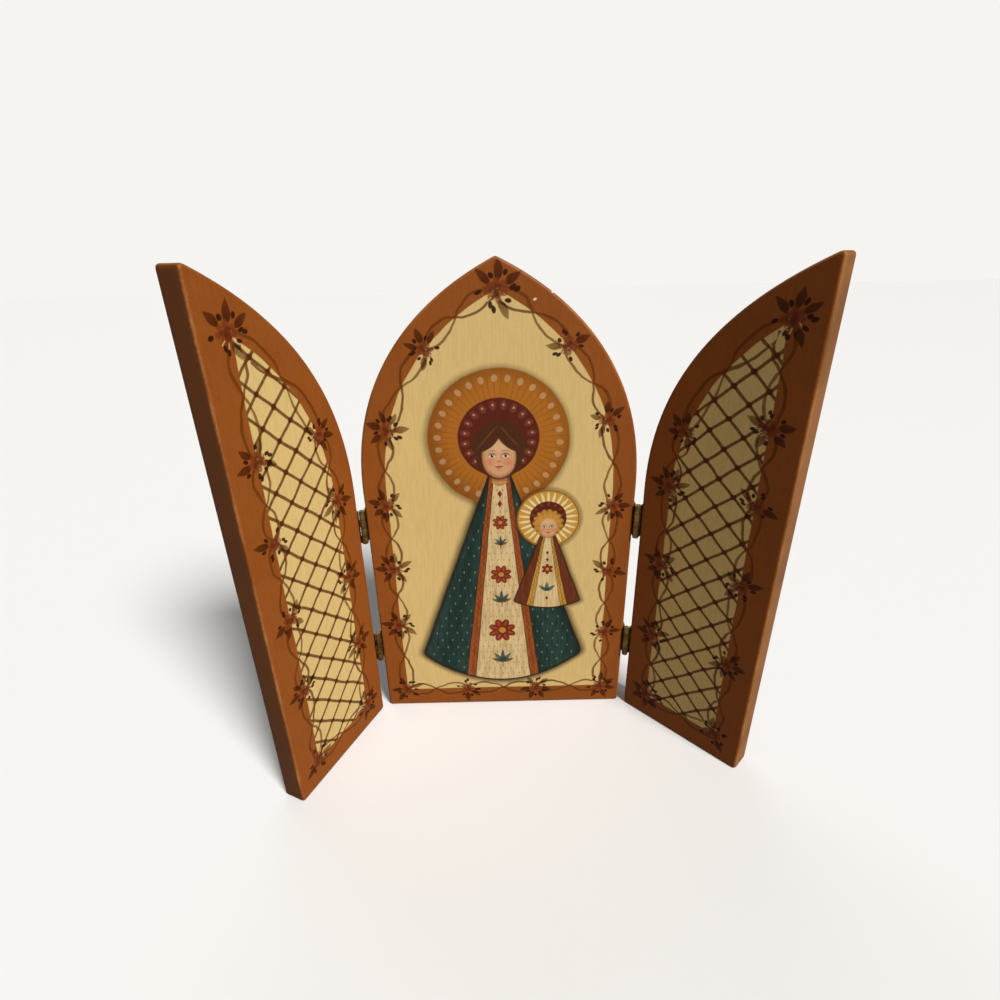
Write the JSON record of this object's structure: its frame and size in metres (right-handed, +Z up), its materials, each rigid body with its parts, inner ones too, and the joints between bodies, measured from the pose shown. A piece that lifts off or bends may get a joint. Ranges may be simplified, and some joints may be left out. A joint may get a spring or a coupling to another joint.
{
  "type": "folding altar",
  "caption": "Small folding altar: a pointed-arch painted wooden panel with half-arch wings that swing shut over it on brass butt hinges.",
  "frame": {"origin": "middle of the centre panel's underside", "axes": "+Z up, along the centre panel's height; -Y is the side that the painted fronts face; +X to the viewer's right"},
  "size_m": [0.2595, 0.0825, 0.2691],
  "materials": {
    "painted_board": "satin burnt-orange paint over softwood, with painted fields and garlands",
    "hinge_brass": "slightly tarnished rolled brass",
    "screw_brass": "tarnished slotted brass"
  },
  "bodies": {
    "root": {"centre_panel": "painted_board", "left_upper_hinge_pin": "hinge_brass", "left_upper_hinge_centre_leaf": "hinge_brass", "left_upper_hinge_centre_leaf_screw_1": "screw_brass", "left_upper_hinge_centre_leaf_screw_2": "screw_brass", "left_lower_hinge_pin": "hinge_brass", "left_lower_hinge_centre_leaf": "hinge_brass", "left_lower_hinge_centre_leaf_screw_1": "screw_brass", "left_lower_hinge_centre_leaf_screw_2": "screw_brass", "right_upper_hinge_pin": "hinge_brass", "right_upper_hinge_centre_leaf": "hinge_brass", "right_upper_hinge_centre_leaf_screw_1": "screw_brass", "right_upper_hinge_centre_leaf_screw_2": "screw_brass", "right_lower_hinge_pin": "hinge_brass", "right_lower_hinge_centre_leaf": "hinge_brass", "right_lower_hinge_centre_leaf_screw_1": "screw_brass", "right_lower_hinge_centre_leaf_screw_2": "screw_brass"},
    "left_wing": {"left_wing": "painted_board", "left_upper_hinge_wing_leaf": "hinge_brass", "left_upper_hinge_wing_leaf_screw_1": "screw_brass", "left_upper_hinge_wing_leaf_screw_2": "screw_brass", "left_lower_hinge_wing_leaf": "hinge_brass", "left_lower_hinge_wing_leaf_screw_1": "screw_brass", "left_lower_hinge_wing_leaf_screw_2": "screw_brass"},
    "right_wing": {"right_wing": "painted_board", "right_upper_hinge_wing_leaf": "hinge_brass", "right_upper_hinge_wing_leaf_screw_1": "screw_brass", "right_upper_hinge_wing_leaf_screw_2": "screw_brass", "right_lower_hinge_wing_leaf": "hinge_brass", "right_lower_hinge_wing_leaf_screw_1": "screw_brass", "right_lower_hinge_wing_leaf_screw_2": "screw_brass"}
  },
  "joints": [
    {"name": "left_wing_hinge", "type": "hinge", "parent": "root", "child": "left_wing", "pos_m": [-0.0767, -0.00755, 0.09], "axis": [0, 0, 1], "range_deg": [-65.55, 114.45]},
    {"name": "right_wing_hinge", "type": "hinge", "parent": "root", "child": "right_wing", "pos_m": [0.0767, -0.00755, 0.09], "axis": [0, 0, -1], "range_deg": [-46.46, 133.54]}
  ]
}
